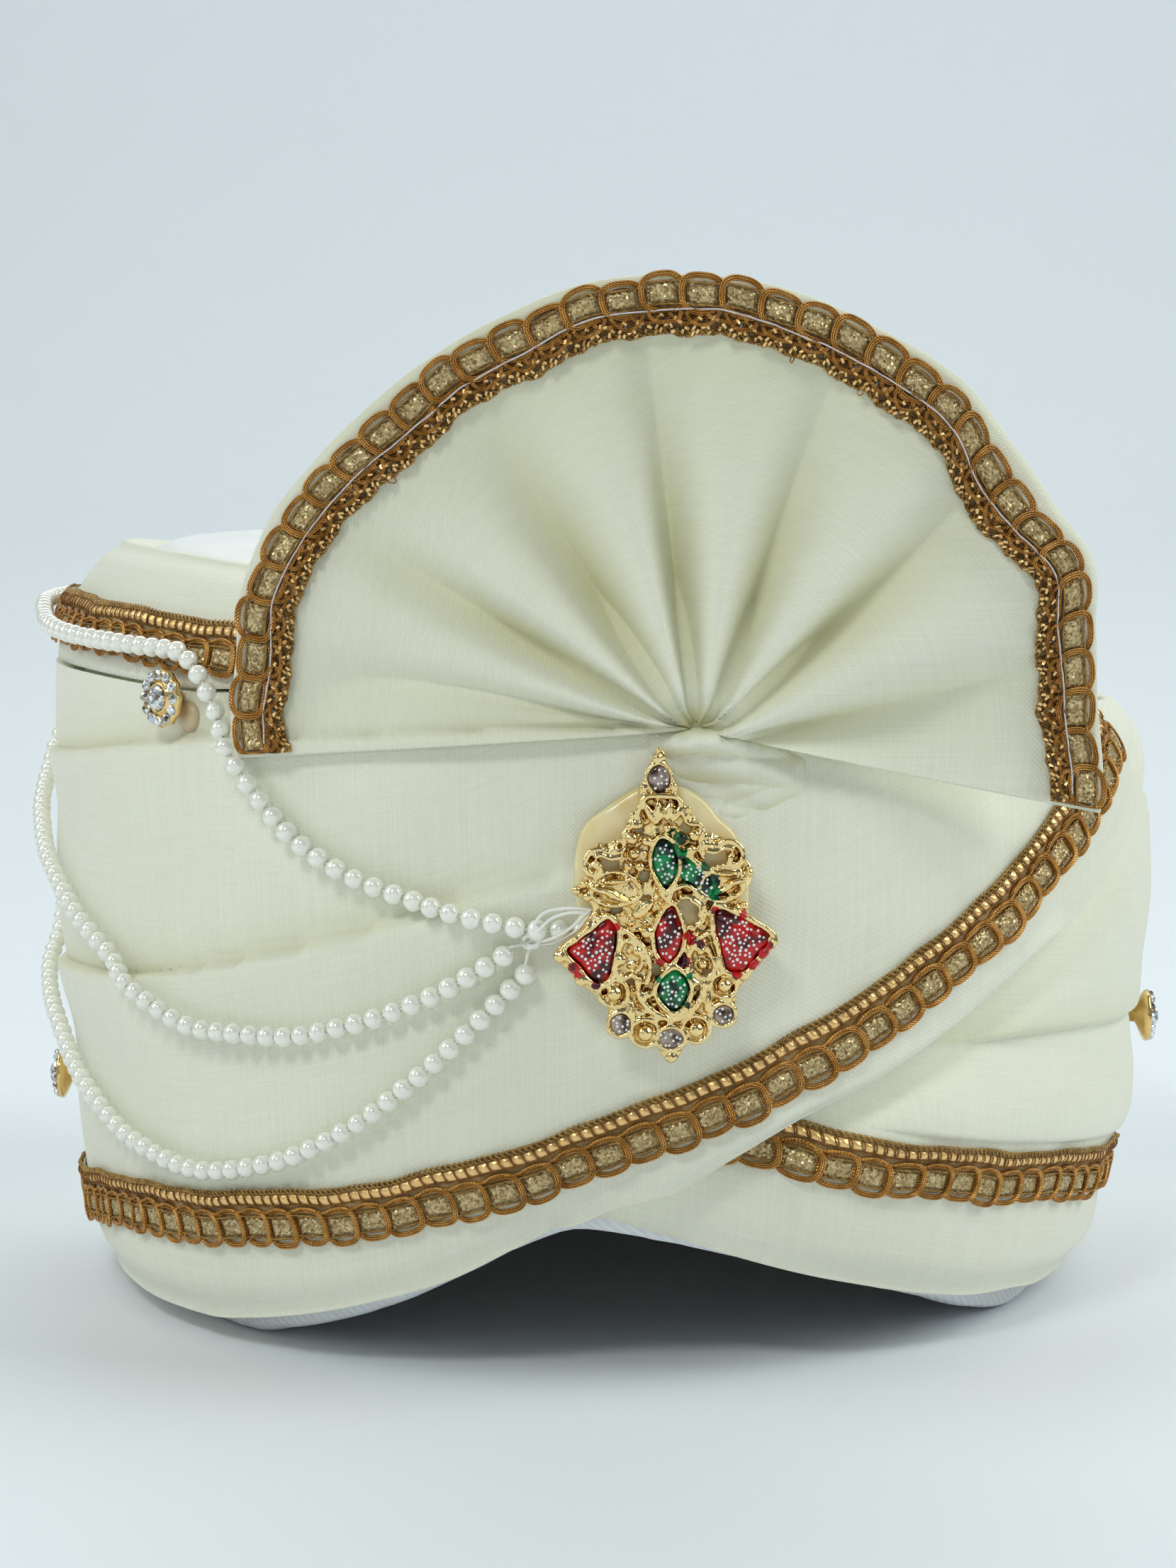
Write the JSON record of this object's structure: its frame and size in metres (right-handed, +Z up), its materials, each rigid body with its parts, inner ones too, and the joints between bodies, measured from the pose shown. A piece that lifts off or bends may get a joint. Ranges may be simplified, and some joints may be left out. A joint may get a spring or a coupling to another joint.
{
  "type": "turban",
  "caption": "Ready-made groom's turban: padded cap wound with diagonal cloth tiers, pleated standing fan, gold lace, jewelled brooch, pearl strings and rhinestone studs.",
  "frame": {"origin": "centre of the bounding box in X and Y, at the level the rim rests on", "axes": "+Z up; -Y is the front with the fan and brooch; +X is to the right of someone who faces the front"},
  "size_m": [0.2487, 0.2626, 0.208],
  "materials": {
    "lined_cap": "matte woven lining, satin crown",
    "base_wrap": "matte woven",
    "front_wrap": "matte woven",
    "top_roll": "matte woven",
    "turra_fan": "matte woven",
    "fan_knot": "matte woven",
    "fan_trim": "metallic thread",
    "front_trim": "metallic thread",
    "side_trim": "metallic thread",
    "upper_trim": "metallic thread",
    "pearl_string_top": "pearlescent",
    "pearl_string_middle": "pearlescent",
    "pearl_string_low": "pearlescent",
    "flower_stud_front": "bright gold plating",
    "flower_stud_left": "bright gold plating",
    "flower_stud_right": "bright gold plating",
    "brooch": "bright gold plating",
    "brooch_patch": "translucent hot-melt glue",
    "stone_green_top": "glossy enamel",
    "stone_red_middle": "glossy enamel",
    "stone_red_left": "glossy enamel",
    "stone_red_right": "glossy enamel",
    "stone_green_bottom": "glossy enamel",
    "crystal_top": "clear faceted acrylic",
    "crystal_left": "clear faceted acrylic",
    "crystal_right": "clear faceted acrylic",
    "crystal_bottom": "clear faceted acrylic",
    "string_tie": "thread"
  },
  "bodies": {
    "root": {"lined_cap": "lined_cap", "base_wrap": "base_wrap", "front_wrap": "front_wrap", "top_roll": "top_roll", "turra_fan": "turra_fan", "fan_knot": "fan_knot", "fan_trim": "fan_trim", "front_trim": "front_trim", "side_trim": "side_trim", "upper_trim": "upper_trim", "pearl_string_top": "pearl_string_top", "pearl_string_middle": "pearl_string_middle", "pearl_string_low": "pearl_string_low", "flower_stud_front": "flower_stud_front", "flower_stud_left": "flower_stud_left", "flower_stud_right": "flower_stud_right", "brooch": "brooch", "brooch_patch": "brooch_patch", "stone_green_top": "stone_green_top", "stone_red_middle": "stone_red_middle", "stone_red_left": "stone_red_left", "stone_red_right": "stone_red_right", "stone_green_bottom": "stone_green_bottom", "crystal_top": "crystal_top", "crystal_left": "crystal_left", "crystal_right": "crystal_right", "crystal_bottom": "crystal_bottom", "string_tie": "string_tie"}
  },
  "joints": []
}
